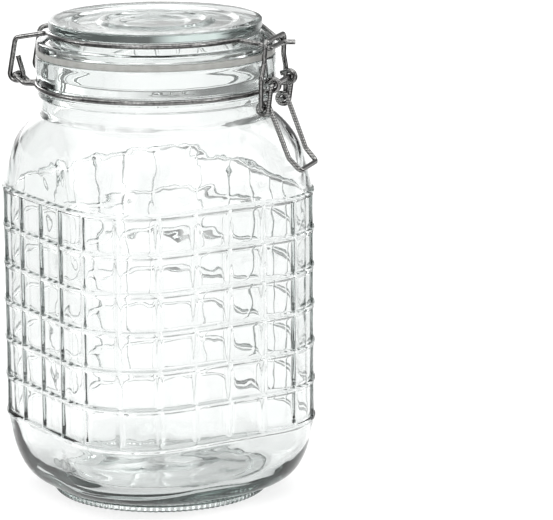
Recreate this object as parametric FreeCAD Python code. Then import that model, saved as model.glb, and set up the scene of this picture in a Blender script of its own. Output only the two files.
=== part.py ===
import FreeCAD, Part
import math
import os

# Square-bodied glass storage jar with a domed glass lid, a flat sealing ring
# and an over-centre wire clasp.  Millimetres, +Z up, origin on the jar axis
# in the plane the foot rests on.  The clasp faces -Y, the lid hinge +Y.

os.makedirs("parts", exist_ok=True)
V = FreeCAD.Vector

# ---------------------------------------------------------------- dimensions
wire_d = 2.1                  # spring-steel wire
wall_a = 55.6                 # half width of the rounded-square body wall
wall_R = 33.2                 # its corner radius
body_turn = -39.7             # direction of one body face's normal, degrees
glass_t = 3.3                 # side wall thickness
floor_z = 9.0                 # inner floor height at its edge
rib_z0 = 31.8                 # lowest horizontal rib
rib_pitch = 16.0              # horizontal rib spacing
rib_n = 7
vrib_n = 24                   # vertical ribs, equally spaced round the body
hrib_r, hrib_sink = 1.25, 0.15
vrib_r, vrib_sink = 1.05, 0.10
wall_top = 127.8              # top of the straight wall
neck_z0 = 159.5
neck_r = 47.6
bead_r = 48.7
groove_r = 48.1
groove_z = 171.5
collar_r = 49.5
rim_z = 184.0
mouth_r = 42.5
neck_in = 43.8
gasket_z0, gasket_z1 = 184.05, 186.8
gasket_ro, gasket_ri = 49.3, 41.7
lid_r = 49.3
lid_boss_r = 41.4
lid_boss_z = 182.6
lid_top = 198.9
lid_rim_r = 44.0
lid_groove_r = 43.3
lid_ring_r, lid_ring_z = 44.4, 193.5
neck_ring_r = groove_r + wire_d / 2 + 0.03

# clasp and hinge axes, as (outward distance from the jar axis, height)
P1 = (54.4, 174.8)            # lever pivot, in the neck wire's ears
P2 = (50.7, 165.0)            # bail pivot, in the lever's eyes
C = (51.5, 192.2)             # bail crossbar
P3 = (56.1, 174.9)            # lid hinge pin, behind the jar
ear_r = 2.3                   # centre-line radius of ears and eyes
hook_r = 2.9                  # centre-line radius of the lid wire's hinge hooks
ear_l = 10.6
nose = (9.5, 52.3, 189.2)     # lateral, outward, height
nose_arm = (10.2, 47.9, 191.3)
handle_bend = (60.9, 145.0)
handle_end = (65.6, 139.9)


# ------------------------------------------------------------------- helpers
def rounded_square(a, R, z):
    """Closed wire, four straight sides and four corner arcs."""
    R = min(R, a - 0.35)
    pts = []
    k = R * math.sqrt(0.5)
    c = a - R
    e = []
    for i in range(4):
        w = math.radians(body_turn + 90 * i)
        n = V(math.cos(w), math.sin(w), 0)
        t = V(-math.sin(w), math.cos(w), 0)
        p0 = n * a - t * c
        p1 = n * a + t * c
        cc = n * c + t * c
        mid = cc + (n + t) * k
        q = t * a + n * c
        o = V(0, 0, z)
        e.append(Part.LineSegment(p0 + o, p1 + o).toShape())
        e.append(Part.Arc(p1 + o, mid + o, q + o).toShape())
    return Part.Wire(e)


def prism(a, R, z0, z1):
    return Part.Face(rounded_square(a, R, z0)).extrude(V(0, 0, z1 - z0))


def loft(sections):
    return Part.makeLoft([rounded_square(*s) for s in sections], True, False)


def revolve(profile):
    """Solid of revolution from (r, z) points; a third entry rounds the corner."""
    n = len(profile)
    edges = []
    ends = []
    for i, p in enumerate(profile):
        P = V(p[0], 0, p[1])
        if len(p) < 3:
            ends.append((P, P, None))
            continue
        a = V(profile[i - 1][0], 0, profile[i - 1][1])
        b = V(profile[(i + 1) % n][0], 0, profile[(i + 1) % n][1])
        u = (a - P).normalize()
        v = (b - P).normalize()
        ang = u.getAngle(v)
        t = p[2] / math.tan(ang / 2)
        bis = (u + v).normalize()
        cen = P + bis * (p[2] / math.sin(ang / 2))
        ends.append((P + u * t, P + v * t, cen - bis * p[2]))
    for i in range(n):
        a, b, m = ends[i]
        if m is not None:
            edges.append(Part.Arc(a, m, b).toShape())
        nx = ends[(i + 1) % n][0]
        if (nx - b).Length > 1e-5:
            edges.append(Part.LineSegment(b, nx).toShape())
    f = Part.Face(Part.Wire(edges))
    s = f.revolve(V(0, 0, 0), V(0, 0, 1), 360)
    if s.ShapeType != "Solid":
        s = Part.Solid(s)
    if s.Volume < 0:
        s.reverse()
    return s


def row(l, s, z):
    """Lateral, outward, height to row axes: the clasp side is -Y."""
    return V(-l, -s, z)


def bend(points, radii, d=wire_d):
    """Round wire along straight runs joined by tangent arcs."""
    n = len(points)
    edges = []
    cur = points[0]
    length = 0.0
    for i in range(1, n):
        if i == n - 1:
            nxt = points[i]
        else:
            u = (points[i] - points[i - 1]).normalize()
            v = (points[i + 1] - points[i]).normalize()
            turn = u.getAngle(v)
            r = radii[i]
            t = r * math.tan(turn / 2)
            nxt = points[i] - u * t
        if (nxt - cur).Length > 1e-4:
            if (nxt - cur).dot(points[i] - points[i - 1]) < 0:
                raise ValueError("bend %d overlaps its neighbour" % i)
            edges.append(Part.LineSegment(cur, nxt).toShape())
            length += (nxt - cur).Length
        else:
            nxt = cur
        if i < n - 1:
            end = points[i] + v * t
            side = (v - u).normalize()
            cen = points[i] + side * (r / math.cos(turn / 2))
            mid = cen - side * r
            edges.append(Part.Arc(nxt, mid, end).toShape())
            length += r * turn
            cur = end
    path = Part.Wire(edges)
    start = points[0]
    tan = (points[1] - points[0]).normalize()
    prof = Part.Wire(Part.makeCircle(d / 2, start, tan))
    s = path.makePipeShell([prof], True, False)
    if s.Volume < 0:
        s.reverse()
    want = math.pi * d * d / 4 * length
    print("wire: length %.1f volume %.1f of %.1f valid %s" % (length, s.Volume, want, s.isValid()))
    return s


def tangent(p, c, r, side):
    """Point where the line from p touches the circle (c, r)."""
    dx, dz = c[0] - p[0], c[1] - p[1]
    d = math.hypot(dx, dz)
    a = math.atan2(dz, dx) + side * math.asin(r / d)
    L = math.sqrt(d * d - r * r)
    return (p[0] + L * math.cos(a), p[1] + L * math.sin(a))


def meet(p, q, a, b):
    """Where line p-q meets line a-b."""
    x1, y1, x2, y2 = p[0], p[1], q[0], q[1]
    x3, y3, x4, y4 = a[0], a[1], b[0], b[1]
    den = (x1 - x2) * (y3 - y4) - (y1 - y2) * (x3 - x4)
    u = x1 * y2 - y1 * x2
    w = x3 * y4 - y3 * x4
    return ((u * (x3 - x4) - (x1 - x2) * w) / den, (u * (y3 - y4) - (y1 - y2) * w) / den)


def ring_points(r, z, a0, a1, n):
    """Corners round an arc of radius r from angle a0 to a1, n equal bends."""
    h = (a1 - a0) / n
    out = []
    for i in range(n):
        a = math.radians(a0 + h * (i + 0.5))
        k = r / math.cos(math.radians(h / 2))
        out.append(V(k * math.cos(a), k * math.sin(a), z))
    return out


# ----------------------------------------------------------------------- jar
shoulder = [(127.8, 1.0), (133.0, .933), (136.4, .897), (139.7, .848), (143.0, .794),
            (146.3, .721), (149.6, .612), (152.9, .46), (156.2, .255), (159.5, .008)]
base = [(3.3, 45.7, 0.9), (4.3, 47.5, 3.6), (6.0, 50.0, 8.9), (9.0, 51.9, 13.4),
        (13.0, 53.2, 16.8), (18.0, 54.1, 19.7), (24.0, 54.9, 21.5), (29.4, wall_a, wall_a - wall_R)]


def shoulder_sections(inset):
    out = []
    for z, g in shoulder:
        c = (wall_a - wall_R) * g + 0.2 * (1 - g)
        R = wall_R * g + (neck_r - 0.2) * (1 - g) - inset
        out.append((c + R, R, z))
    return out


outer = prism(wall_a, wall_R, 29.4, wall_top)
low = loft([(a, a - c, z) for z, a, c in base])
high = loft(shoulder_sections(0))
foot = revolve([(0, 0), (0, 4.6), (44.9, 4.6), (45.0, 0.9, 0.6), (44.0, 0)])
neck = revolve([(0, 157.5), (0, rim_z), (collar_r - 0.1, rim_z, 0.8), (collar_r + 0.15, 178.5, 30),
                (collar_r - 0.1, 173.4, 0.4), (groove_r, 173.1, 0.35), (groove_r, 169.9, 0.35),
                (bead_r, 169.5, 0.5), (bead_r, 167.3, 0.5), (neck_r, 166.8, 0.5), (neck_r, 157.5)])

side = outer.fuse([low, high, foot, neck])
side = side.removeSplitter()
print("outer", side.isValid(), side.Volume, len(side.Solids))

# raised lattice: rings, then bars at the middle of every face and corner
ribs = []
for j in range(rib_n):
    z = rib_z0 + j * rib_pitch
    p = rounded_square(wall_a - hrib_sink, wall_R - hrib_sink, z)
    e0 = p.Edges[0]
    w = math.radians(body_turn)
    t = V(-math.sin(w), math.cos(w), 0)
    prof = Part.Wire(Part.makeCircle(hrib_r, e0.Vertexes[0].Point, t))
    s = p.makePipeShell([prof], True, False)
    if s.Volume < 0:
        s.reverse()
    ribs.append(s)


def on_perimeter(a, R, f):
    """Point at a fraction f of the way round, from the middle of a face."""
    c = a - R
    quarter = 2 * c + math.pi * R / 2
    q = f * 4
    i = int(math.floor(q + 1e-9))
    d = (q - i) * quarter
    w = math.radians(body_turn + 90 * i)
    n = V(math.cos(w), math.sin(w), 0)
    t = V(-math.sin(w), math.cos(w), 0)
    if d <= c:
        return n * a + t * d
    if d <= c + math.pi * R / 2:
        b = (d - c) / R
        return n * c + t * c + n * (R * math.cos(b)) + t * (R * math.sin(b))
    return t * a + n * (c - (d - c - math.pi * R / 2))


for k in range(vrib_n):
    p = on_perimeter(wall_a - vrib_sink, wall_R - vrib_sink, k / vrib_n)
    ribs.append(Part.makeCylinder(vrib_r, rib_pitch * (rib_n - 1), V(p.x, p.y, rib_z0), V(0, 0, 1)))
glass = side.fuse(ribs)
print("ribbed", glass.isValid(), glass.Volume, len(glass.Solids), len(glass.Faces))

# inside: floor with a low centre dome, straight wall, shoulder, neck, mouth
cav = [(floor_z, 42.5, 4.5), (floor_z + 1.2, 45.8, 8.0), (floor_z + 3.5, 48.4, 13.0),
       (floor_z + 7.5, 50.4, 17.0), (floor_z + 13, 51.6, 20.2), (30.0, wall_a - glass_t, wall_a - wall_R)]
in_low = loft([(a, a - c, z) for z, a, c in cav])
in_wall = prism(wall_a - glass_t, wall_R - glass_t, 30.0, wall_top)
in_high = loft([(wall_a - glass_t, wall_R - glass_t, wall_top)] + shoulder_sections(glass_t + 0.3)[1:-1]
               + [(neck_in, neck_in - 0.36, 160.2)])
in_neck = revolve([(0, 158.5), (0, rim_z + 1), (mouth_r + 1.5, rim_z + 1), (mouth_r, rim_z - 0.6, 0.6),
                   (mouth_r, 176.0, 6), (neck_in, 171.0, 6), (neck_in, 158.5)])
dome = Part.makeSphere(120, V(0, 0, floor_z + 1.8 - 120))
cavity = in_wall.fuse([in_low, in_high, in_neck]).removeSplitter()
cavity = cavity.cut(dome)
print("cavity", cavity.isValid(), cavity.Volume, len(cavity.Solids))
punt = Part.makeSphere(180, V(0, 0, 3.2 - 180)).common(Part.makeCylinder(38, 4, V(0, 0, -0.5), V(0, 0, 1)))
recess = revolve([(0, -0.5), (39.4, -0.5), (38.2, 1.2, 0.8), (0, 1.2)])
jar = glass.cut(cavity).cut(recess).cut(punt)
print("jar", jar.isValid(), jar.Volume, len(jar.Solids), len(jar.Faces))

# ----------------------------------------------------------------------- lid
lid = revolve([
    (0, 191.6), (0, 196.3), (12.2, 196.3, 1.0), (14.6, 197.1, 1.0), (19.2, 197.1, 0.8), (20.6, 198.3, 0.7),
    (22.9, 198.3, 0.9), (24.6, 197.0, 1.2), (32.0, 197.2, 3.0), (34.4, 198.2, 2.0), (41.8, lid_top, 2.0),
    (lid_rim_r, 198.2, 0.9), (lid_rim_r, 194.9, 0.5), (lid_groove_r, 194.3, 0.5), (lid_groove_r, 192.7, 0.7),
    (46.6, 190.4, 2.5), (lid_r - 0.2, 189.7, 1.0), (lid_r, 186.8, 0.5), (lid_boss_r, 186.8),
    (lid_boss_r, lid_boss_z, 0.9), (37.2, lid_boss_z, 0.9), (35.2, 191.6, 2.5)])
gasket = revolve([(gasket_ri, gasket_z0), (gasket_ri, gasket_z1), (gasket_ro, gasket_z1), (gasket_ro, gasket_z0)])
gasket = gasket.makeFillet(0.5, [e for e in gasket.Edges if e.BoundBox.XMax > gasket_ro - 0.1 and e.Curve.TypeId == "Part::GeomCircle"])
print("lid", lid.isValid(), lid.Volume, "gasket", gasket.isValid(), gasket.Volume)

# ----------------------------------------------------------------- neck wire
# One wire: an ear at each side of the clasp, round the neck groove, and two
# hairpins behind that carry the lid hinge.
e = ear_r
pin_in, pin_out = 11.0, 17.0
a_front = math.degrees(math.asin(ear_l / neck_ring_r))
a_out = math.degrees(math.asin(pin_out / neck_ring_r))
a_in = math.degrees(math.asin(pin_in / neck_ring_r))


def side_of_neck(sign):
    """Corners from the front ear to the rear gap, on one side."""
    pts, rad = [], []

    def add(l, s, z, r):
        pts.append(row(sign * l, s, z))
        rad.append(r)
    add(ear_l, 50.6, 175.9, 0)
    top = tangent((50.6, 175.9), P1, e, 1)
    corner_t = meet((50.6, 175.9), top, (P1[0] + e, 0), (P1[0] + e, 10))
    a0 = a_front + 4.0
    tx = neck_ring_r * math.sin(math.radians(a0))
    ty = neck_ring_r * math.cos(math.radians(a0))
    s0 = ty + (tx - ear_l) * math.tan(math.radians(a0))
    low_p = tangent((s0, groove_z), P1, e, -1)
    corner_b = meet((s0, groove_z), low_p, (P1[0] + e, 0), (P1[0] + e, 10))
    add(ear_l, corner_t[0], corner_t[1], e * 0.999)
    add(ear_l, corner_b[0], corner_b[1], e * 0.999)
    add(ear_l, s0, groove_z, 1.9)
    for q in ring_points(neck_ring_r, groove_z, a0, 180 - a_out - 4.0, 6):
        pts.append(row(sign * q.y, q.x, q.z))
        rad.append(neck_ring_r * 0.9999)
    a1 = a_out + 4.0
    tx = neck_ring_r * math.sin(math.radians(a1))
    ty = neck_ring_r * math.cos(math.radians(a1))
    m = (tx - pin_out) / math.cos(math.radians(a1))
    add(pin_out, -(ty + m * math.sin(math.radians(a1))), groove_z, 1.9)
    add(pin_out, -51.6, groove_z, 2.6)
    add(pin_out, -P3[0], P3[1], 1.6)
    add(pin_in, -P3[0], P3[1], 1.6)
    add(pin_in, -51.6, groove_z - 0.6, 2.6)
    a2 = a_in - 2.6
    tx = neck_ring_r * math.sin(math.radians(a2))
    ty = neck_ring_r * math.cos(math.radians(a2))
    m = (pin_in - tx) / math.cos(math.radians(a2))
    add(pin_in, -(ty - m * math.sin(math.radians(a2))), groove_z, 1.5)
    return pts, rad, a2


pn, rn, a2 = side_of_neck(1)
pf, rf, a2 = side_of_neck(-1)
back = [row(q.y, q.x, q.z) for q in ring_points(neck_ring_r, groove_z, 180 - a2, 180 + a2, 1)]
neck_wire = bend(pn + back + pf[::-1], rn + [neck_ring_r * 0.9999] * len(back) + rf[::-1])

# ------------------------------------------------------------------ lid wire
# Two halves of one ring: hinge hook, leg, arm, round the lid, and forward to
# the nose under the bail.  The near half's end turns out as a finger tab and
# the far half is welded to the crossbar.
hook_l = 14.0


def half_lid_wire(sign):
    pts, rad = [], []

    def add(l, s, z, r):
        pts.append(row(sign * l, s, z))
        rad.append(r)
    top = (P3[0] - 0.8, 182.4)
    corner = (P3[0] + 0.2, 189.9)
    t_in = tangent(top, P3, hook_r, -1)
    t_out = tangent(corner, P3, hook_r, 1)
    b = P3[1] - hook_r
    q_in = meet(top, t_in, (0, b), (1, b))
    q_out = meet(corner, t_out, (0, b), (1, b))
    add(hook_l, -top[0], top[1], 0)
    add(hook_l, -q_in[0], q_in[1], hook_r * 0.999)
    add(hook_l, -q_out[0], q_out[1], hook_r * 0.999)
    add(hook_l, -corner[0], corner[1], 2.6)
    a0, a1 = 180 - 31.0, 27.0
    k = 3.6
    T0 = (lid_ring_r * math.sin(math.radians(a0)), lid_ring_r * math.cos(math.radians(a0)))
    d0 = (math.cos(math.radians(a0)), -math.sin(math.radians(a0)))
    add(T0[0] + d0[0] * k, T0[1] + d0[1] * k, lid_ring_z, 5.0)
    for q in ring_points(lid_ring_r, lid_ring_z, a0, a1, 5):
        pts.append(row(sign * q.y, q.x, q.z))
        rad.append(lid_ring_r * 0.9999)
    T1 = (lid_ring_r * math.sin(math.radians(a1)), lid_ring_r * math.cos(math.radians(a1)))
    d1 = (-math.cos(math.radians(a1)), math.sin(math.radians(a1)))
    add(T1[0] + d1[0] * k, T1[1] + d1[1] * k, lid_ring_z, 6.0)
    add(nose_arm[0], nose_arm[1], nose_arm[2], 3.2)
    if sign > 0:
        add(nose[0], nose[1], nose[2], 1.8)
        add(-9.0, nose[1], nose[2], 1.8)
        add(-9.8, 57.2, nose[2] + 0.05, 0)
    else:
        add(8.8, nose[1] - 0.35, nose[2] + 0.2, 0)
    return pts, rad


lw_n = bend(*half_lid_wire(1))
lw_f = bend(*half_lid_wire(-1))
lid_wire = lw_n.fuse(lw_f)
print("lid_wire", lid_wire.isValid(), len(lid_wire.Solids))

# --------------------------------------------------------------------- lever
# Pivot bar between the ears, down to an eye for the bail each side, then the
# handle legs inside the eyes.
eye_out, eye_in = 14.0, 11.8


def half_lever(sign):
    pts, rad = [], []

    def add(l, s, z, r):
        pts.append(row(sign * l, s, z))
        rad.append(r)
    add(eye_out, P1[0], P1[1], 1.7)
    t0 = tangent(P1, P2, ear_r, -1)
    t0 = tangent(P1, P2, ear_r, 1) if tangent(P1, P2, ear_r, 1)[0] > t0[0] else t0
    t1a = tangent(handle_bend, P2, ear_r, 1)
    t1b = tangent(handle_bend, P2, ear_r, -1)
    t1 = t1a if t1a[0] > t1b[0] else t1b
    a0 = math.degrees(math.atan2(t0[1] - P2[1], t0[0] - P2[0]))
    a1 = math.degrees(math.atan2(t1[1] - P2[1], t1[0] - P2[0]))
    while a1 > a0 - 300:
        a1 -= 360
    n = 6
    h = (a1 - a0) / n
    for i in range(n):
        a = math.radians(a0 + h * (i + 0.5))
        k = ear_r / math.cos(math.radians(h / 2))
        f = (i + 0.5) / n
        add(eye_out + (eye_in - eye_out) * f, P2[0] + k * math.cos(a), P2[1] + k * math.sin(a), ear_r * 0.985)
    add(11.4, handle_bend[0], handle_bend[1], 5.0)
    add(11.0, handle_end[0], handle_end[1], 2.2)
    return pts, rad


pn, rn = half_lever(1)
pf, rf = half_lever(-1)
start = row(0, P1[0], P1[1])
lev_n = bend([start] + pn + [row(0, handle_end[0], handle_end[1])], [0] + rn + [0])
lev_f = bend([start] + pf + [row(0, handle_end[0], handle_end[1])], [0] + rf + [0])
lever = lev_n.fuse(lev_f).removeSplitter()
print("lever", lever.isValid(), len(lever.Solids), lever.Volume)

# ---------------------------------------------------------------------- bail
leg_l, top_l = 16.3, 12.7


def half_bail(sign):
    pts, rad = [], []

    def add(l, s, z, r):
        pts.append(row(sign * l, s, z))
        rad.append(r)
    add(10.0, P2[0], P2[1], 0)
    add(leg_l, P2[0], P2[1], 1.7)
    add(leg_l, P2[0] + 0.2, 177.9, 2.4)
    add(top_l + 0.2, P2[0] + 0.4, 183.6, 2.4)
    add(top_l, C[0], C[1], 2.4)
    return pts, rad


pn, rn = half_bail(1)
pf, rf = half_bail(-1)
bail = bend(pn + pf[::-1], rn + rf[::-1])

# -------------------------------------------------------------------- export
for name, shape in (("jar", jar), ("lid", lid), ("gasket", gasket), ("neck_wire", neck_wire),
                    ("lid_wire", lid_wire), ("lever", lever), ("bail", bail)):
    b = shape.BoundBox
    print("%-10s solids %d faces %d valid %s vol %.0f box x %.1f %.1f y %.1f %.1f z %.1f %.1f" % (
        name, len(shape.Solids), len(shape.Faces), shape.isValid(), shape.Volume,
        b.XMin, b.XMax, b.YMin, b.YMax, b.ZMin, b.ZMax))
    shape.exportStep("parts/%s.step" % name)
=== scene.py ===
"""Looks for the lidded glass canister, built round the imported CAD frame."""

import math

import bpy
import numpy as np
from mathutils import Matrix, Vector


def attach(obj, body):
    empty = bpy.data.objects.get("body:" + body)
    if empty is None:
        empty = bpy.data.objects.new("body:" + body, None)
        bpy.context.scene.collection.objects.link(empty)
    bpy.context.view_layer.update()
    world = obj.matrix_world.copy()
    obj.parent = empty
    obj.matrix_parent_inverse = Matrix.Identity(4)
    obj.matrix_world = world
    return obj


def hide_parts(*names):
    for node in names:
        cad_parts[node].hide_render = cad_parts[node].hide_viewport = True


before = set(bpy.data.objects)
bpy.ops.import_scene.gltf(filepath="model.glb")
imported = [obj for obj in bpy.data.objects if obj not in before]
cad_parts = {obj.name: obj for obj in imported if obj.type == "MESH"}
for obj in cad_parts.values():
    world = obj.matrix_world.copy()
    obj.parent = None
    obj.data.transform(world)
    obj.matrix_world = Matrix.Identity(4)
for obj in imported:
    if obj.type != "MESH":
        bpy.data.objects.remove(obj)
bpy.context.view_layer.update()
MM = 0.001
PI = math.pi

# ------------------------------------------------------------ shape constants
# All in millimetres in the row frame, the same numbers as the CAD model.
TURN = math.radians(-39.7)
WALL_A, WALL_R, GLASS_T = 55.6, 33.2, 3.3
RIB_Z0, RIB_PITCH, RIB_N, VRIB_N = 31.8, 16.0, 7, 24
WALL_TOP, RIM_Z = 127.8, 184.0
BASE = [(3.3, 45.7, 0.9), (4.3, 47.5, 3.6), (6.0, 50.0, 8.9), (9.0, 51.9, 13.4), (13.0, 53.2, 16.8),
        (18.0, 54.1, 19.7), (24.0, 54.9, 21.5), (29.4, WALL_A, WALL_A - WALL_R)]
SHOULDER = [(127.8, 1.0), (133.0, .933), (136.4, .897), (139.7, .848), (143.0, .794),
            (146.3, .721), (149.6, .612), (152.9, .46), (156.2, .255), (159.5, .008)]
FLOOR = [(9.0, 42.5, 4.5), (10.2, 45.8, 8.0), (12.5, 48.4, 13.0), (16.5, 50.4, 17.0), (22.0, 51.6, 20.2),
         (30.0, WALL_A - GLASS_T, WALL_A - WALL_R)]


# ------------------------------------------------------------------- helpers
def pchip(x, y, xs):
    """Smooth curve through points with no overshoot."""
    x, y, xs = (np.asarray(v, float) for v in (x, y, xs))
    h, d = np.diff(x), np.diff(y) / np.diff(x)
    m = np.zeros_like(x)
    m[0], m[-1] = d[0], d[-1]
    for i in range(1, len(x) - 1):
        if d[i - 1] * d[i] > 0:
            w1, w2 = 2 * h[i] + h[i - 1], h[i] + 2 * h[i - 1]
            m[i] = (w1 + w2) / (w1 / d[i - 1] + w2 / d[i])
    k = np.clip(np.searchsorted(x, xs) - 1, 0, len(h) - 1)
    t = (xs - x[k]) / h[k]
    t2, t3 = t * t, t ** 3
    return ((2 * t3 - 3 * t2 + 1) * y[k] + (t3 - 2 * t2 + t) * h[k] * m[k]
            + (3 * t2 - 2 * t3) * y[k + 1] + (t3 - t2) * h[k] * m[k + 1])


def ripple(p, wave, seed, n=22):
    """Smooth, repeatable unevenness at points p, about -1 to 1, with bumps of the given wave length."""
    r = np.random.RandomState(seed)
    out = np.zeros(p.shape[:-1])
    for _ in range(n):
        k = r.normal(size=3)
        k *= 2 * PI / (wave * (0.7 + 0.8 * r.rand())) / np.linalg.norm(k)
        out += np.sin(p @ k + r.rand() * 2 * PI)
    return out / math.sqrt(n / 2) * 0.7


def rounded(points, step=0.35):
    """Dense open line through (r, z) points; a third entry rounds that corner."""
    out = []
    n = len(points)
    for i, p in enumerate(points):
        P = np.array(p[:2], float)
        if len(p) < 3 or i in (0, n - 1):
            out.append([P])
            continue
        a = np.array(points[i - 1][:2], float) - P
        b = np.array(points[i + 1][:2], float) - P
        a, b = a / np.linalg.norm(a), b / np.linalg.norm(b)
        ang = math.acos(max(-1, min(1, float(a @ b))))
        rad = p[2]
        t = rad / math.tan(ang / 2)
        bis = (a + b) / np.linalg.norm(a + b)
        cen = P + bis * rad / math.sin(ang / 2)
        s, e = P + a * t - cen, P + b * t - cen
        sweep = PI - ang
        m = max(3, int(math.ceil(sweep / math.radians(12))))
        arc = []
        for j in range(m + 1):
            f = j / m
            v = s * math.sin((1 - f) * sweep) + e * math.sin(f * sweep)
            arc.append(cen + v / math.sin(sweep))
        out.append(arc)
    flat = [q for part in out for q in part]
    line = [flat[0]]
    for q in flat[1:]:
        gap = np.linalg.norm(q - line[-1])
        if gap < 1e-4:
            continue
        k = max(1, int(gap / step))
        if k > 1:
            for j in range(1, k):
                line.append(line[-1] + (q - line[-1]) / (k - j + 1))
        line.append(q)
    return np.array(line)


def closed_mesh(name, grid, first=None, last=None):
    """Closed mesh from rows of points that run round the axis. first and last close the two ends with a
    centre point; with neither, the last row joins the first."""
    rows, cols = grid.shape[:2]
    verts = grid.reshape(-1, 3)
    faces = []
    idx = np.arange(rows * cols).reshape(rows, cols)
    nxt = np.roll(idx, -1, axis=1)
    top = range(rows - 1) if first is not None else range(rows)
    for i in top:
        k = (i + 1) % rows
        faces.append(np.stack([idx[i], nxt[i], nxt[k], idx[k]], 1))
    quads = np.concatenate(faces)
    tris = []
    if first is not None:
        verts = np.vstack([verts, first, last])
        a, b = rows * cols, rows * cols + 1
        tris.append(np.stack([np.full(cols, a), nxt[0], idx[0]], 1))
        tris.append(np.stack([np.full(cols, b), idx[-1], nxt[-1]], 1))
    tris = np.concatenate(tris) if tris else np.zeros((0, 3), int)
    # outward or inward, from the signed volume
    def vol(f):
        a, b, c = verts[f[:, 0]], verts[f[:, 1]], verts[f[:, 2]]
        return float(np.einsum("ij,ij->i", a, np.cross(b, c)).sum())
    v = vol(quads[:, [0, 1, 2]]) + vol(quads[:, [0, 2, 3]]) + (vol(tris) if len(tris) else 0)
    if v < 0:
        quads, tris = quads[:, ::-1], tris[:, ::-1]
    me = bpy.data.meshes.new(name)
    loops = np.concatenate([quads.reshape(-1), tris.reshape(-1)]).astype(np.int32)
    start = np.concatenate([np.arange(len(quads)) * 4, len(quads) * 4 + np.arange(len(tris)) * 3]).astype(np.int32)
    me.vertices.add(len(verts))
    me.vertices.foreach_set("co", (verts * MM).astype(np.float32).reshape(-1))
    me.loops.add(len(loops))
    me.loops.foreach_set("vertex_index", loops)
    me.polygons.add(len(start))
    me.polygons.foreach_set("loop_start", start)
    me.update(calc_edges=True)
    me.polygons.foreach_set("use_smooth", np.ones(len(start), bool))
    me.validate()
    me.update()
    ob = bpy.data.objects.new(name, me)
    bpy.context.scene.collection.objects.link(ob)
    return ob


# --------------------------------------------------------------- jar surface
HALF_PITCH = [0, .4, .8, 1.1, 1.3, 1.44, 1.54, 1.66, 1.9, 2.4, 3.3, 4.5, 5.7, 6.9]     # then the middle of a pane
COLS = VRIB_N * 2 * len(HALF_PITCH)
perim = 8 * (WALL_A - WALL_R) + 2 * PI * WALL_R
pitch = perim / VRIB_N
step = HALF_PITCH + [pitch / 2] + [pitch - v for v in HALF_PITCH[:0:-1]]
s_col = np.array([k * pitch + v for k in range(VRIB_N) for v in step])


def wall_angles():
    """Polar angles, from the first face's normal, of the wall's columns, which crowd together at the upright ribs."""
    c = WALL_A - WALL_R
    quarter = 2 * c + PI * WALL_R / 2
    f = s_col / perim * 4
    i = np.floor(f + 1e-9)
    d = (f - i) * quarter
    b = np.clip((d - c) / WALL_R, 0, PI / 2)
    x = np.where(d <= c, WALL_A, c + WALL_R * np.cos(b))
    y = np.where(d <= c, d, c + WALL_R * np.sin(b))
    late = d > c + PI * WALL_R / 2
    x = np.where(late, c - (d - c - PI * WALL_R / 2), x)
    y = np.where(late, WALL_A, y)
    return np.arctan2(y, x) + i * PI / 2


PHI = wall_angles()
EVEN = np.arange(COLS) / COLS * 2 * PI


def section(a, c, crowd):
    """Points and outward normals, rows by columns, of rounded squares with half width a and straight half c.
    crowd is 1 on rows whose columns follow the ribs, and 0 where they are even."""
    a, c = np.asarray(a, float)[:, None], np.asarray(c, float)[:, None]
    phi = EVEN[None, :] + np.asarray(crowd, float)[:, None] * (PHI - EVEN)[None, :]
    q = np.round(phi / (PI / 2))
    d = phi - q * PI / 2
    ad, s = np.abs(d), np.sign(d)
    R = a - c
    flat = np.tan(ad) * a <= c
    uk = c * (np.cos(ad) + np.sin(ad))
    r = uk + np.sqrt(np.maximum(R * R - 2 * c * c + uk * uk, 0))
    px, py = r * np.cos(ad), r * np.sin(ad)
    nx, ny = (px - c) / R, (py - c) / R
    px, py = np.where(flat, a, px), np.where(flat, a * np.tan(ad), py)
    nx, ny = np.where(flat, 1.0, nx), np.where(flat, 0.0, ny)
    py, ny = py * s, ny * s
    w = q * PI / 2 + TURN
    cw, sw = np.cos(w), np.sin(w)
    return px * cw - py * sw, px * sw + py * cw, nx * cw - ny * sw, nx * sw + ny * cw


def bead(x, r, sink):
    """Round bar of radius r sunk into the wall, with a small fillet at its foot."""
    bar = np.sqrt(np.clip(r * r - x * x, 0, None)) - sink
    fillet = 0.24 * np.clip(1 - (np.abs(x) - r + 0.15) / 0.9, 0, 1) ** 2.2
    return np.maximum(bar, fillet)


near_v = np.abs((s_col + pitch / 2) % pitch - pitch / 2)

# outer rows, from the middle of the underside to the rim
rows = []                         # (z, a, c)
for r in np.linspace(3, 26.8, 9):
    rows.append((3.2 - r * r / 360, r, 0))
for r, z in rounded([(27.5, 1.2), (38.2, 1.2, .8), (39.2, 0.0, .3), (44.0, 0.0, .3), (45.0, 0.9, .6), (44.95, 3.2, .15), (45.6, 3.32)], 0.45)[1:]:
    rows.append((z, r, 0.9 * max(0.0, (z - 3.1) / 0.22)))
n_foot = len(rows)
bz = np.array([b[0] for b in BASE])
ba, bc = [b[1] for b in BASE], [b[2] for b in BASE]
zs = np.concatenate([np.linspace(3.5, 6.0, 9), np.linspace(6.6, 12, 10), np.linspace(12.8, 28.6, 16)])
for z, a, c in zip(zs, pchip(bz, ba, zs), pchip(bz, bc, zs)):
    rows.append((z, a, c))
off = np.array([0, .36, .72, .98, 1.14, 1.25, 1.34, 1.48, 1.75, 2.3])
wz = []
for j in range(RIB_N):
    z = RIB_Z0 + j * RIB_PITCH
    wz += list(z - off[::-1]) + list(z + off[1:])
    if j < RIB_N - 1:
        wz += list(np.linspace(z + 2.3, z + RIB_PITCH - 2.3, 7)[1:-1])
wz = np.array(sorted(wz))


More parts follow.
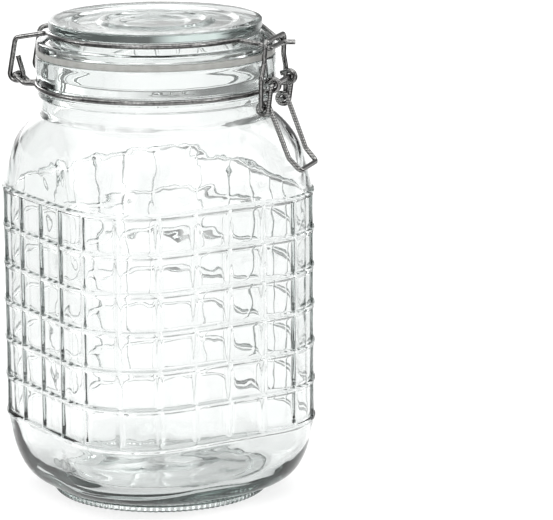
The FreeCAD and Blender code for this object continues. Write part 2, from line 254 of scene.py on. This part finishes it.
def body_a(z):
    z = np.asarray(z, float)
    g = pchip([s[0] for s in SHOULDER], [s[1] for s in SHOULDER], np.clip(z, 127.8, 159.5))
    c = (WALL_A - WALL_R) * g + 0.2 * (1 - g)
    R = WALL_R * g + (47.6 - 0.2) * (1 - g)
    low_a, low_c = pchip(bz, ba, np.clip(z, 3.3, 29.4)), pchip(bz, bc, np.clip(z, 3.3, 29.4))
    return np.where(z < 29.4, low_a, c + R), np.where(z < 29.4, low_c, c)


up = np.concatenate([wz, np.linspace(131.6, 159.4, 34)])
for z, a, c in zip(up, *body_a(up)):
    rows.append((z, a, c))
for r, z in rounded([(47.62, 160.2), (47.6, 166.8, .5), (48.7, 167.3, .5), (48.7, 169.5, .5), (48.1, 169.9, .35),
                     (48.1, 173.1, .35), (49.4, 173.4, .4), (49.65, 178.5, 30), (49.4, 184.0, .8), (46.0, 184.0)], 0.8):
    rows.append((z, r, 0.0))
rows = np.array(rows)
crowd = np.clip((rows[:, 0] - 7) / 20, 0, 1) * np.clip((152 - rows[:, 0]) / 20, 0, 1)
X, Y, NX, NY = section(rows[:, 1], rows[:, 2], crowd ** 2 * (3 - 2 * crowd))
Z = np.repeat(rows[:, 0][:, None], COLS, 1)

# raised lattice
zr = (rows[:, 0] - RIB_Z0) / RIB_PITCH
near_h = np.abs(zr - np.clip(np.round(zr), 0, RIB_N - 1)) * RIB_PITCH
on = (np.arange(len(rows)) >= n_foot)
hh = np.where(on, bead(near_h, 1.34, .34), 0)[:, None] * np.ones((1, COLS))
inside = np.clip((RIB_PITCH * (RIB_N - 1) / 2 + 0.6 - np.abs(rows[:, 0] - RIB_Z0 - RIB_PITCH * (RIB_N - 1) / 2)) / 1.2, 0, 1)
# an upright bar is fullest half way between two rings, and a small knob stands where they cross
full = 0.5 - 0.5 * np.cos(2 * PI * (rows[:, 0] - RIB_Z0) / RIB_PITCH)
vr = (1.28 + 0.30 * np.sqrt(full))[:, None]
vv = np.where(on, inside, 0)[:, None] * bead(near_v[None, :], vr, vr - 0.92)
rib = (hh ** 3 + vv ** 3 + 1e-12) ** (1 / 3)
rib = np.clip(1.10 - 0.10 * np.logaddexp(0, (1.10 - rib) / 0.10), 0, 1.10)
# panes sag a little between the ribs, and the wall is never quite even
P = np.stack([X, Y, Z], -1)
wall = np.clip((rows[:, 0] - 20) / 10, 0, 1) * np.clip((163 - rows[:, 0]) / 8, 0, 1)
cell_s = 0.5 - 0.5 * np.cos(2 * PI * s_col / pitch)
cell_z = 0.5 - 0.5 * np.cos(2 * PI * (rows[:, 0] - RIB_Z0) / RIB_PITCH)
in_band = np.clip((rows[:, 0] - RIB_Z0 + 1) / 2, 0, 1) * np.clip((WALL_TOP + 1 - rows[:, 0]) / 2, 0, 1)
sag = 0.10 * in_band[:, None] * np.sqrt(cell_z[:, None] * cell_s[None, :])
uneven = 0.05 * ripple(P, 14, 3) + 0.03 * ripple(P, 6, 4)
h = rib - sag - 0.03 + np.minimum(uneven, 0.0) * wall[:, None]
# fine upright notches round the foot
k = np.arange(COLS)
notch = 0.5 + 0.5 * np.cos(2 * PI * k / 6)
foot_w = np.clip((3.15 - rows[:, 0]) / 0.5, 0, 1) * np.clip((rows[:, 1] - 42.6) / 1.0, 0, 1)
h = h * (rows[:, 0] > 3.6)[:, None] - 0.62 * foot_w[:, None] * notch[None, :]
outer = np.stack([X + NX * h, Y + NY * h, Z], -1)

# inner rows, from the rim down to the middle of the floor
inn = []
for r, z in rounded([(46.0, 184.0), (44.1, 184.0, 0.3), (42.5, 182.9, .6), (42.5, 176.0, 6), (43.8, 171.0, 6), (43.8, 161.0)], 0.9)[1:]:
    inn.append((z, r, 0))
down = np.linspace(160.2, 128.6, 36)
g = pchip([s[0] for s in SHOULDER], [s[1] for s in SHOULDER], np.clip(down, 127.8, 159.5))
c_in = (WALL_A - WALL_R) * g + 0.2 * (1 - g)
R_in = WALL_R * g + (47.6 - 0.2) * (1 - g) - (GLASS_T + 0.3)
for z, a, c in zip(down, c_in + R_in, c_in):
    inn.append((z, max(a, 43.8), c))
down = np.concatenate([np.linspace(127.8, 31, 76), np.linspace(30, 12.5, 22), np.linspace(11.9, 9.9, 7)])
fz = [f[0] for f in FLOOR]
fa, fc = pchip(fz, [f[1] for f in FLOOR], np.clip(down, 9, 30)), pchip(fz, [f[2] for f in FLOOR], np.clip(down, 9, 30))
for z, a, c in zip(down, fa, fc):
    inn.append((z, a, c))
a0, c0 = fa[-1], fc[-1]
for t in np.linspace(0.08, 0.97, 26):
    r = (1 - t) * (a0 - 1.2)
    dome = 10.8 - r * r / 240
    edge = 9.75 - 0.55 * (1 - (1 - min(1, t / 0.2)) ** 2)
    inn.append((max(dome, edge), r, c0 * (1 - t) ** 2))
inn = np.array(inn)
XI, YI, NXI, NYI = section(inn[:, 1], inn[:, 2], np.zeros(len(inn)))
even_s = np.interp(EVEN, np.append(PHI, 2 * PI), np.append(s_col, perim))
cell_i = 0.5 - 0.5 * np.cos(2 * PI * even_s / pitch)
ZI = np.repeat(inn[:, 0][:, None], COLS, 1)
PI3 = np.stack([XI, YI, ZI], -1)
body = np.clip((inn[:, 0] - 10.5) / 12, 0, 1) * np.clip((183 - inn[:, 0]) / 6, 0, 1)
zc = 0.5 - 0.5 * np.cos(2 * PI * (inn[:, 0] - RIB_Z0) / RIB_PITCH)
band_i = np.clip((inn[:, 0] - RIB_Z0 + 2) / 4, 0, 1) * np.clip((WALL_TOP + 2 - inn[:, 0]) / 4, 0, 1)
pillow = 0.16 * band_i[:, None] * (zc[:, None] * cell_i[None, :] - 0.35)
low = np.clip((34 - inn[:, 0]) / 20, 0, 1)
drift = 0.20 * ripple(PI3, 34, 11) + 0.045 * ripple(PI3, 15, 12) + 0.010 * ripple(PI3, 7, 13)
drift = drift * body[:, None] * (1 + 1.3 * low[:, None])
hi = -(drift + pillow)
lift = 0.16 * ripple(PI3, 16, 21) * np.clip((12 - inn[:, 0]) / 1.5, 0, 1)[:, None]
inner = np.stack([XI + NXI * hi, YI + NYI * hi, ZI + lift], -1)

print("jar rows", len(rows), len(inn), "columns", COLS, "faces", (len(rows) + len(inn)) * COLS)
jar = closed_mesh("jar_glass", np.concatenate([outer, inner]), (0, 0, 3.2), (0, 0, 10.8))
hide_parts("jar")


# --------------------------------------------------------------- lid and seal
def turned(name, line, cols, uneven=0.0, ends=True, seed=5):
    t = np.arange(cols) / cols * 2 * PI
    r = line[:, 0][:, None]
    grid = np.stack([r * np.cos(t), r * np.sin(t), np.repeat(line[:, 1][:, None], cols, 1)], -1)
    if uneven:
        grid[..., 2] += uneven * ripple(grid, 16, seed) * np.clip(r / 6, 0, 1)
    if ends:
        return closed_mesh(name, grid[1:-1], grid[0, 0] * [0, 0, 1], grid[-1, 0] * [0, 0, 1])
    return closed_mesh(name, grid)


lid_line = rounded([
    (0, 191.6), (35.2, 191.6, 2.5), (37.2, 182.62, .9), (41.4, 182.62, .9), (41.4, 186.83, .4), (49.3, 186.83, .5),
    (49.1, 189.7, 1.0), (46.6, 190.4, 2.5), (43.3, 192.7, .7), (43.3, 194.3, .5), (44.0, 194.9, .5), (44.0, 198.2, .9),
    (41.8, 198.80, 2.0), (34.4, 198.2, 2.0), (32.0, 197.2, 3.0), (24.6, 197.0, 1.2), (22.9, 198.3, .9),
    (20.6, 198.3, .7), (19.2, 197.1, .8), (14.6, 197.1, 1.0), (12.2, 196.3, 1.0), (0, 196.3)], 0.6)
lid = turned("lid_glass", lid_line, 360, 0.035)
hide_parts("lid")

seal_line = rounded([(41.75, 185.4), (41.75, 184.08, .45), (44.6, 184.08, .2), (44.9, 184.3, .15), (46.2, 184.3, .15),
                     (46.5, 184.08, .2), (49.25, 184.08, .55), (49.25, 186.76, .55), (46.5, 186.76, .2), (46.2, 186.55, .15),
                     (44.9, 186.55, .15), (44.6, 186.76, .2), (41.75, 186.76, .45), (41.75, 185.45)], 0.5)
seal = turned("seal_ring", seal_line, 288, 0.0, ends=False)
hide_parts("gasket")


# ----------------------------------------------------------------- materials
def new_material(name):
    m = bpy.data.materials.new(name)
    m.use_nodes = True
    nt = m.node_tree
    nt.nodes.clear()
    out = nt.nodes.new("ShaderNodeOutputMaterial")
    b = nt.nodes.new("ShaderNodeBsdfPrincipled")
    nt.links.new(b.outputs["BSDF"], out.inputs["Surface"])
    co = nt.nodes.new("ShaderNodeTexCoord")
    return m, nt, b, out, co.outputs["Object"]


def node(nt, kind, inputs=None, **props):
    n = nt.nodes.new(kind)
    for key, v in props.items():
        setattr(n, key, v)
    for key, v in (inputs or {}).items():
        if isinstance(v, bpy.types.NodeSocket):
            nt.links.new(v, n.inputs[key])
        else:
            n.inputs[key].default_value = v
    return n


def noise(nt, co, scale, detail=3.0, rough=0.5, stretch=None):
    if stretch:
        co = node(nt, "ShaderNodeMapping", {"Vector": co, "Scale": stretch}).outputs["Vector"]
    return node(nt, "ShaderNodeTexNoise", {"Vector": co, "Scale": scale, "Detail": detail, "Roughness": rough}).outputs["Fac"]


def span(nt, fac, lo, hi, a=0.3, b=0.7):
    return node(nt, "ShaderNodeMapRange", {"Value": fac, "From Min": a, "From Max": b, "To Min": lo, "To Max": hi}).outputs["Result"]


def tint(nt, fac, c0, c1):
    r = node(nt, "ShaderNodeValToRGB", {"Fac": fac})
    r.color_ramp.elements[0].color = (*c0, 1)
    r.color_ramp.elements[1].color = (*c1, 1)
    r.color_ramp.elements[0].position, r.color_ramp.elements[1].position = 0.35, 0.65
    return r.outputs["Color"]


def glass_material(name, density, wave, bump):
    m, nt, b, out, co = new_material(name)
    b.inputs["IOR"].default_value = 1.52
    b.inputs["Transmission Weight"].default_value = 1.0
    # pressed glass: the skin ripples gently, and is a touch less polished in places
    nt.links.new(tint(nt, noise(nt, co, 60, 2), (.985, .992, .988), (1, 1, 1)), b.inputs["Base Color"])
    nt.links.new(span(nt, noise(nt, co, 420, 3), 0.0, 0.012), b.inputs["Roughness"])
    wav = noise(nt, co, wave, 2, 0.45)
    nt.links.new(node(nt, "ShaderNodeBump", {"Height": wav, "Strength": bump, "Distance": 0.0006}).outputs["Normal"], b.inputs["Normal"])
    v = nt.nodes.new("ShaderNodeVolumeAbsorption")
    v.inputs["Color"].default_value = (0.652, 0.695, 0.685, 1)
    v.inputs["Density"].default_value = density
    nt.links.new(v.outputs["Volume"], out.inputs["Volume"])
    return m


glass = glass_material("pressed_glass", 62.0, 95, 0.10)
lid_glass = glass_material("pressed_lid_glass", 36.0, 110, 0.08)



def wire_material(name, ridges):
    m, nt, b, out, co = new_material(name)
    b.inputs["Metallic"].default_value = 1.0
    shade = noise(nt, co, 900, 4, .6)
    nt.links.new(span(nt, noise(nt, co, 700, 3), 0.04, 0.12), b.inputs["Roughness"])
    height = noise(nt, co, 2600, 2, .6)
    if ridges:
        # the straightening rolls leave fine ridges across the wire; the same bands also darken the base colour in the
        # grooves, painted shade
        wave = node(nt, "ShaderNodeTexWave", {"Vector": co, "Scale": 290.0, "Distortion": 0.8, "Detail": 1.0,
                                              "Detail Scale": 1.5}, bands_direction="Z")
        height = node(nt, "ShaderNodeMath", {0: wave.outputs["Fac"], 1: height}, operation="ADD").outputs[0]
        # painted shade: the ridge bands darken the base colour where the ridges dip; the noise under it is random tone
        shade = node(nt, "ShaderNodeMath", {0: wave.outputs["Fac"], 1: shade}, operation="MULTIPLY").outputs[0]
        shade = node(nt, "ShaderNodeMath", {0: shade, 1: 0.30}, operation="ADD").outputs[0]
    darkest = .13 if ridges else .10
    nt.links.new(tint(nt, shade, (darkest,) * 3, (.31, .307, .30)), b.inputs["Base Color"])
    bump = node(nt, "ShaderNodeBump", {"Height": height, "Strength": 0.25 if ridges else 0.12, "Distance": 0.0001})
    nt.links.new(bump.outputs["Normal"], b.inputs["Normal"])
    return m


steel = wire_material("polished_wire", False)
ridged = wire_material("ridged_wire", True)

rubber, nt, b, out, co = new_material("clear_seal")
nt.links.new(tint(nt, noise(nt, co, 260, 4), (.50, .50, .475), (.61, .61, .585)), b.inputs["Base Color"])
nt.links.new(span(nt, noise(nt, co, 700, 3), 0.30, 0.45), b.inputs["Roughness"])
b.inputs["IOR"].default_value = 1.41
b.inputs["Transmission Weight"].default_value = 0.45
nt.links.new(node(nt, "ShaderNodeBump", {"Height": noise(nt, co, 1500, 3), "Strength": 0.2, "Distance": 0.0001}).outputs["Normal"], b.inputs["Normal"])


def paint(ob, mat):
    if not ob.data.materials:
        ob.data.materials.append(mat)
    for i in range(len(ob.data.materials)):
        ob.data.materials[i] = mat


paint(jar, glass)
paint(lid, lid_glass)
paint(seal, rubber)
for n in ("jar", "lid"):
    paint(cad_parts[n], glass)
paint(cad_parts["gasket"], rubber)
for n in ("neck_wire", "lid_wire", "lever", "bail"):
    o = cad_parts[n]
    paint(o, ridged if n == "lever" else steel)
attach(jar, "jar")
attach(lid, "lid")
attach(seal, "lid")

# ----------------------------------------------------------------- the studio
me = bpy.data.meshes.new("floor")
ring = [(6.0 * math.cos(a), 6.0 * math.sin(a), -0.0002) for a in np.arange(96) / 96 * 2 * PI]
me.from_pydata(ring, [], [list(range(96))])
floor = bpy.data.objects.new("floor", me)
bpy.context.scene.collection.objects.link(floor)
m = bpy.data.materials.new("pale_floor")
m.use_nodes = True
nt = m.node_tree
nt.nodes.clear()
out = nt.nodes.new("ShaderNodeOutputMaterial")
dif = node(nt, "ShaderNodeBsdfDiffuse", {"Color": (.30, .30, .30, 1)})
em = node(nt, "ShaderNodeEmission", {"Color": (1, 1, 1, 1), "Strength": 0.735})
add = node(nt, "ShaderNodeAddShader")
nt.links.new(dif.outputs[0], add.inputs[0])
nt.links.new(em.outputs[0], add.inputs[1])
# painted reflection: only to glossy rays, and not after transmission, the floor is painted
# near black in two side lobes beyond about 0.2 to 0.4 m, which paints dark bands into the
# polished wire and the skin of the glass; seen straight, or through the glass, it stays even
tc = nt.nodes.new("ShaderNodeTexCoord")
sep = node(nt, "ShaderNodeSeparateXYZ", {"Vector": tc.outputs["Object"]})
az = node(nt, "ShaderNodeMath", {0: sep.outputs["Y"], 1: sep.outputs["X"]}, operation="ARCTAN2").outputs[0]
turn = node(nt, "ShaderNodeMath", {0: node(nt, "ShaderNodeMath", {0: az, 1: 2.0}, operation="MULTIPLY").outputs[0], 1: 0.69}, operation="SUBTRACT").outputs[0]
lobe = node(nt, "ShaderNodeMath", {0: turn}, operation="COSINE").outputs[0]
side = node(nt, "ShaderNodeMapRange", {"Value": lobe, "From Min": 0.55, "From Max": -0.25, "To Min": 0.0, "To Max": 0.92}).outputs["Result"]
far = node(nt, "ShaderNodeVectorMath", {0: tc.outputs["Object"]}, operation="LENGTH").outputs["Value"]
out_there = node(nt, "ShaderNodeMapRange", {"Value": far, "From Min": 0.2, "From Max": 0.4, "To Min": 0.0, "To Max": 1.0}).outputs["Result"]
path = nt.nodes.new("ShaderNodeLightPath")
fac = node(nt, "ShaderNodeMath", {0: side, 1: out_there}, operation="MULTIPLY").outputs[0]
fac = node(nt, "ShaderNodeMath", {0: fac, 1: path.outputs["Is Glossy Ray"]}, operation="MULTIPLY").outputs[0]
bounced = node(nt, "ShaderNodeMath", {0: 1.0, 1: path.outputs["Is Transmission Ray"]}, operation="SUBTRACT").outputs[0]
fac = node(nt, "ShaderNodeMath", {0: fac, 1: bounced}, operation="MULTIPLY").outputs[0]
# painted reflection: the near-black floor that only glossy rays see
painted_dark_reflection = node(nt, "ShaderNodeEmission", {"Color": (1, 1, 1, 1), "Strength": 0.04})
mix = node(nt, "ShaderNodeMixShader", {0: fac})
nt.links.new(add.outputs[0], mix.inputs[1])
nt.links.new(painted_dark_reflection.outputs[0], mix.inputs[2])
nt.links.new(mix.outputs[0], out.inputs["Surface"])
me.materials.append(m)

# Soft white all round at eye level, greyer higher up with dark gaps between the
# soft boxes, and a broad soft box overhead: the same from every side.
world = bpy.data.worlds.new("studio")
bpy.context.scene.world = world
world.use_nodes = True
nt = world.node_tree
nt.nodes.clear()
wo = nt.nodes.new("ShaderNodeOutputWorld")
bg = nt.nodes.new("ShaderNodeBackground")
nt.links.new(bg.outputs[0], wo.inputs["Surface"])
tc = nt.nodes.new("ShaderNodeTexCoord")
sep = node(nt, "ShaderNodeSeparateXYZ", {"Vector": tc.outputs["Generated"]})
az = node(nt, "ShaderNodeMath", {0: sep.outputs["Y"], 1: sep.outputs["X"]}, operation="ARCTAN2").outputs[0]
stripe = node(nt, "ShaderNodeMath", {0: node(nt, "ShaderNodeMath", {0: az, 1: 5.0}, operation="MULTIPLY").outputs[0]}, operation="COSINE").outputs[0]
gap = node(nt, "ShaderNodeMapRange", {"Value": stripe, "From Min": -0.80, "From Max": 0.05, "To Min": 1.0, "To Max": 0.0}).outputs["Result"]
ramp = node(nt, "ShaderNodeValToRGB", {"Fac": sep.outputs["Z"]})
cr = ramp.color_ramp
cr.elements[0].position, cr.elements[0].color = 0.0, (1.6, 1.6, 1.6, 1)
cr.elements[1].position, cr.elements[1].color = 1.0, (2.0, 2.0, 2.0, 1)
for pos, v in ((0.05, 1.9), (0.40, 1.9), (0.52, 0.72), (0.66, 0.72), (0.78, 1.8)):
    e = cr.elements.new(pos)
    e.color = (v, v, v, 1)
path = nt.nodes.new("ShaderNodeLightPath")
seen = node(nt, "ShaderNodeMath", {0: 1.0, 1: path.outputs["Is Camera Ray"]}, operation="SUBTRACT").outputs[0]
high = node(nt, "ShaderNodeMapRange", {"Value": sep.outputs["Z"], "From Min": 0.44, "From Max": 0.56, "To Min": 1.0, "To Max": 0.0}).outputs["Result"]
where = node(nt, "ShaderNodeMath", {0: seen, 1: high}, operation="MULTIPLY").outputs[0]
mul = node(nt, "ShaderNodeMix", {0: where}, data_type="FLOAT")
mul.inputs[2].default_value = 1.0
nt.links.new(gap, mul.inputs[3])
fin = node(nt, "ShaderNodeVectorMath", {0: ramp.outputs["Color"]}, operation="SCALE")
nt.links.new(mul.outputs[0], fin.inputs["Scale"])
# a small hot core in each soft box puts a glint on the wire and the rim
core = node(nt, "ShaderNodeMapRange", {"Value": stripe, "From Min": -0.86, "From Max": -0.98, "To Min": 0.0, "To Max": 6.0}).outputs["Result"]
level = node(nt, "ShaderNodeMath", {0: node(nt, "ShaderNodeMath", {0: sep.outputs["Z"], 1: 0.30}, operation="SUBTRACT").outputs[0]}, operation="ABSOLUTE").outputs[0]
belt = node(nt, "ShaderNodeMapRange", {"Value": level, "From Min": 0.10, "From Max": 0.05, "To Min": 0.0, "To Max": 1.0}).outputs["Result"]
glint = node(nt, "ShaderNodeMath", {0: core, 1: belt}, operation="MULTIPLY").outputs[0]
glint = node(nt, "ShaderNodeMath", {0: glint, 1: 0.30}, operation="ADD").outputs[0]
grey = node(nt, "ShaderNodeCombineXYZ", {0: glint, 1: glint, 2: glint}).outputs[0]
dark = node(nt, "ShaderNodeVectorMath", {0: fin.outputs[0], 1: grey}, operation="ADD")
pick = node(nt, "ShaderNodeMix", {0: path.outputs["Is Camera Ray"], 6: dark.outputs[0], 7: (1.1, 1.1, 1.1, 1)}, data_type="RGBA")
nt.links.new(pick.outputs[2], bg.inputs["Color"])

scene = bpy.context.scene
scene.view_settings.view_transform = "Standard"
scene.cycles.max_bounces = 32
scene.cycles.transmission_bounces = 32
scene.cycles.glossy_bounces = 8
scene.cycles.sample_clamp_indirect = 4.0
scene.cycles.use_denoising = True

# -------------------------------------------------------------------- camera
cam = bpy.data.cameras.new("camera")
cam.lens = 247.4
cam.sensor_width = 36.0
cam.clip_start, cam.clip_end = 0.05, 50
co_ = bpy.data.objects.new("camera", cam)
scene.collection.objects.link(co_)
fwd = Vector((0.92824, 0.30160, -0.21774)).normalized()
right = fwd.cross(Vector((0, 0, 1))).normalized()
upv = right.cross(fwd)
rot = Matrix((right, upv, -fwd)).transposed().to_4x4()
co_.matrix_world = Matrix.Translation((-1.45355, -0.52390, 0.44061)) @ rot @ Matrix.Rotation(-0.0068, 4, "Z")
scene.camera = co_
